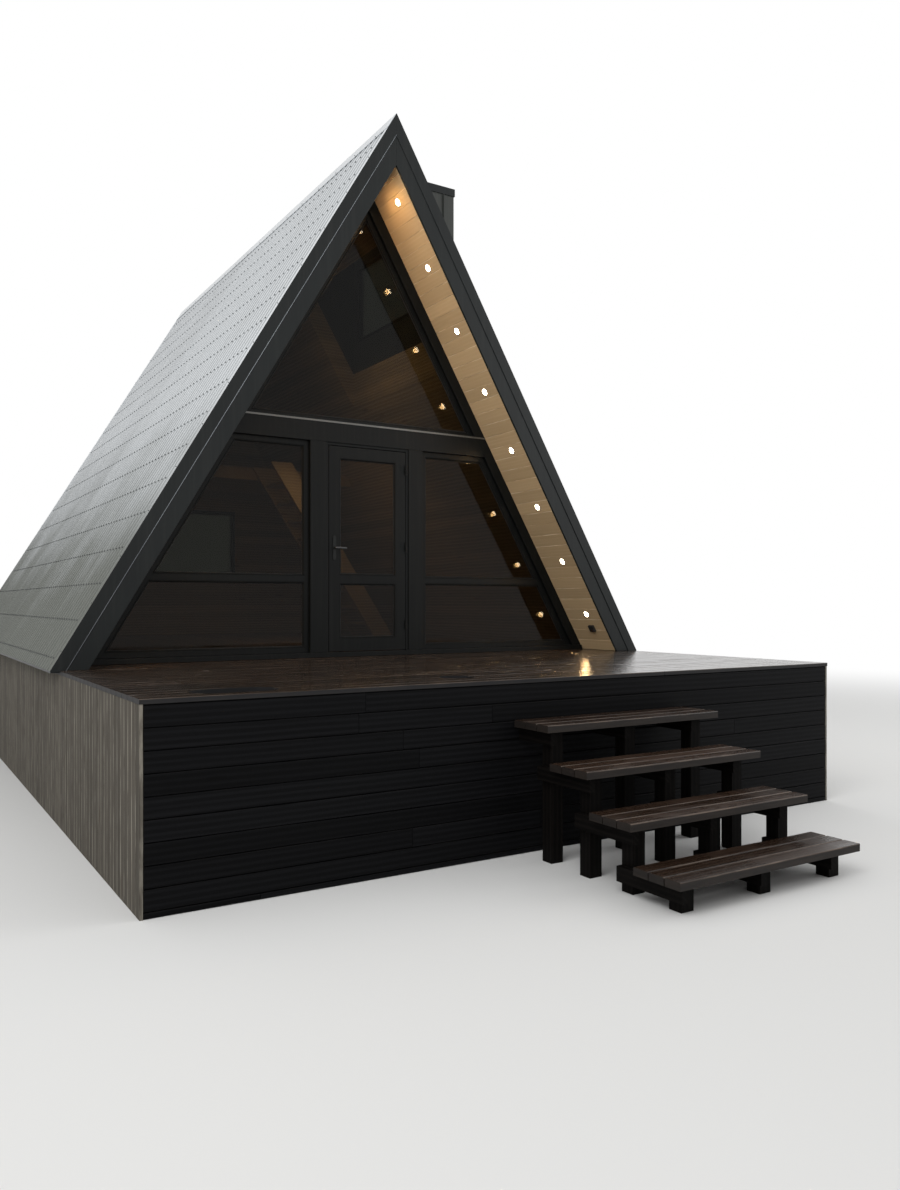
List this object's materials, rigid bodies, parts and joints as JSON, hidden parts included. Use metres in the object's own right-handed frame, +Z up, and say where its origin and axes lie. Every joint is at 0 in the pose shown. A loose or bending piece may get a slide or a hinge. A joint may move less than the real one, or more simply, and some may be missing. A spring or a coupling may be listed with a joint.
{
  "type": "a-frame cabin",
  "caption": "A-frame timber cabin with a glazed gable and door, ribbed metal roof slopes and a dormer, on a raised boarded platform with a terrace and open steps",
  "frame": {"origin": "on the ground, in the middle of the box round the whole cabin with its steps", "axes": "+X to the right seen from the front, +Y from the steps into the cabin, +Z up"},
  "size_m": [6.247, 11.471, 6.5374],
  "materials": {
    "terrace_wood": "wet weathered grey-brown boards",
    "floor_wood": "oiled boards",
    "black_cladding": "black stained boards, weathered",
    "weathered_cladding": "bare boards weathered grey",
    "framing_wood": "sawn softwood",
    "step_wood": "wet worn boards",
    "dark_timber": "dark stained, damp",
    "roof_sheet": "satin, ribbed",
    "lining_wood": "clear varnished boards",
    "soffit_wood": "matt varnished boards",
    "light_white": "satin rim round a warm lamp",
    "dark_plastic": "matt",
    "dark_trim": "satin graphite",
    "dark_frame": "satin graphite",
    "window_glass": "clear",
    "handle_steel": "satin",
    "dormer_sheet": "satin grey sheet",
    "stair_wood": "clear varnished"
  },
  "bodies": {
    "cabin": {"terrace_deck": "terrace_wood", "cabin_floor": "floor_wood", "end_skirts": "black_cladding", "side_skirts": "weathered_cladding", "platform_beams": "framing_wood", "platform_posts": "framing_wood", "step_treads": "step_wood", "step_posts": "dark_timber", "step_bearers": "dark_timber", "roof_panel_left": "framing_wood", "roof_panel_right": "framing_wood", "roof_sheet_left": "roof_sheet", "roof_sheet_right": "roof_sheet", "roof_linings": "lining_wood", "soffit_left": "soffit_wood", "soffit_right": "soffit_wood", "soffit_lights": "light_white", "soffit_socket": "dark_plastic", "fascia_boards": "dark_trim", "verges": "dark_trim", "ridge_cap": "roof_sheet", "eave_trim": "dark_trim", "front_sill": "dark_frame", "gable_frames": "dark_frame", "transom_beam": "dark_frame", "front_posts": "dark_frame", "front_window_frames": "dark_frame", "front_window_glass": "window_glass", "door_jambs": "dark_frame", "door_head": "dark_frame", "door_hinges_fixed": "dark_frame", "back_wall": "black_cladding", "back_window_frames": "dark_frame", "back_window_glass": "window_glass", "dormer_walls": "dormer_sheet", "dormer_roof": "dark_trim", "dormer_window_frame": "dark_frame", "dormer_window_glass": "window_glass", "loft_floor": "lining_wood", "loft_stair": "stair_wood"},
    "door": {"door_leaf": "dark_frame", "door_glass": "window_glass", "door_hinges_moving": "dark_frame", "handle_plates": "handle_steel"},
    "handle": {"door_handle": "handle_steel"}
  },
  "joints": [
    {"name": "door_swing", "type": "hinge", "parent": "cabin", "child": "door", "pos_m": [0.439, -0.9665, 2.377], "axis": [0, 0, 1], "range_deg": [0, 100]},
    {"name": "handle_turn", "type": "hinge", "parent": "door", "child": "handle", "pos_m": [-0.379, -0.9245, 2.345], "axis": [0, 1, 0], "range_deg": [0, 40], "stiffness_Nm_per_rad": 2, "springref_deg": -17.19}
  ]
}
